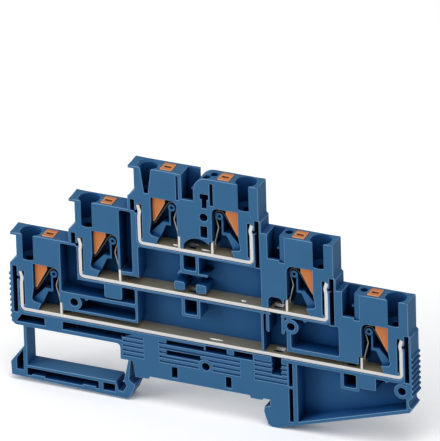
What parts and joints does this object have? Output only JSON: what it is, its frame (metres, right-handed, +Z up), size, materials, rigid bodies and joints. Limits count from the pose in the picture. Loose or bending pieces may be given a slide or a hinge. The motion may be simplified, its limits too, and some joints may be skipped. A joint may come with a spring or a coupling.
{
  "type": "terminal block",
  "caption": "Slim stepped multi-level rail terminal block: open-sided moulded housing with push-in spring clamps, bent current bars, round wire entries and press-down release buttons.",
  "frame": {"origin": "centre of the rail's seat, level with the top of the rail's flanges, at mid thickness", "axes": "X along the block, Y along the rail with the open face towards -Y, Z up from the rail"},
  "size_m": [0.1053, 0.0052, 0.0647],
  "materials": {
    "housing": "moulded blue polyamide, satin",
    "current_bar": "tin-plated copper sheet, sheared edges",
    "spring": "dark spring steel strip",
    "button": "moulded orange plastic, satin"
  },
  "bodies": {
    "block": {"housing": "housing", "lower_bar": "current_bar", "middle_bar": "current_bar", "upper_bar": "current_bar", "lower_left_spring": "spring", "lower_right_spring": "spring", "middle_left_spring": "spring", "middle_right_spring": "spring", "upper_left_spring": "spring", "upper_right_spring": "spring"},
    "lower_left_button": {"lower_left_button": "button"},
    "lower_right_button": {"lower_right_button": "button"},
    "middle_left_button": {"middle_left_button": "button"},
    "middle_right_button": {"middle_right_button": "button"},
    "upper_left_button": {"upper_left_button": "button"},
    "upper_right_button": {"upper_right_button": "button"}
  },
  "joints": [
    {"name": "lower_left_press", "type": "slide", "parent": "block", "child": "lower_left_button", "axis": [0, 0, -1], "range_m": [0, 0.0012], "stiffness_N_per_m": 4000, "deforming": ["lower_left_spring"]},
    {"name": "lower_right_press", "type": "slide", "parent": "block", "child": "lower_right_button", "axis": [0, 0, -1], "range_m": [0, 0.0012], "stiffness_N_per_m": 4000, "deforming": ["lower_right_spring"]},
    {"name": "middle_left_press", "type": "slide", "parent": "block", "child": "middle_left_button", "axis": [0, 0, -1], "range_m": [0, 0.0012], "stiffness_N_per_m": 4000, "deforming": ["middle_left_spring"]},
    {"name": "middle_right_press", "type": "slide", "parent": "block", "child": "middle_right_button", "axis": [0, 0, -1], "range_m": [0, 0.0012], "stiffness_N_per_m": 4000, "deforming": ["middle_right_spring"]},
    {"name": "upper_left_press", "type": "slide", "parent": "block", "child": "upper_left_button", "axis": [0, 0, -1], "range_m": [0, 0.0012], "stiffness_N_per_m": 4000, "deforming": ["upper_left_spring"]},
    {"name": "upper_right_press", "type": "slide", "parent": "block", "child": "upper_right_button", "axis": [0, 0, -1], "range_m": [0, 0.0012], "stiffness_N_per_m": 4000, "deforming": ["upper_right_spring"]}
  ]
}
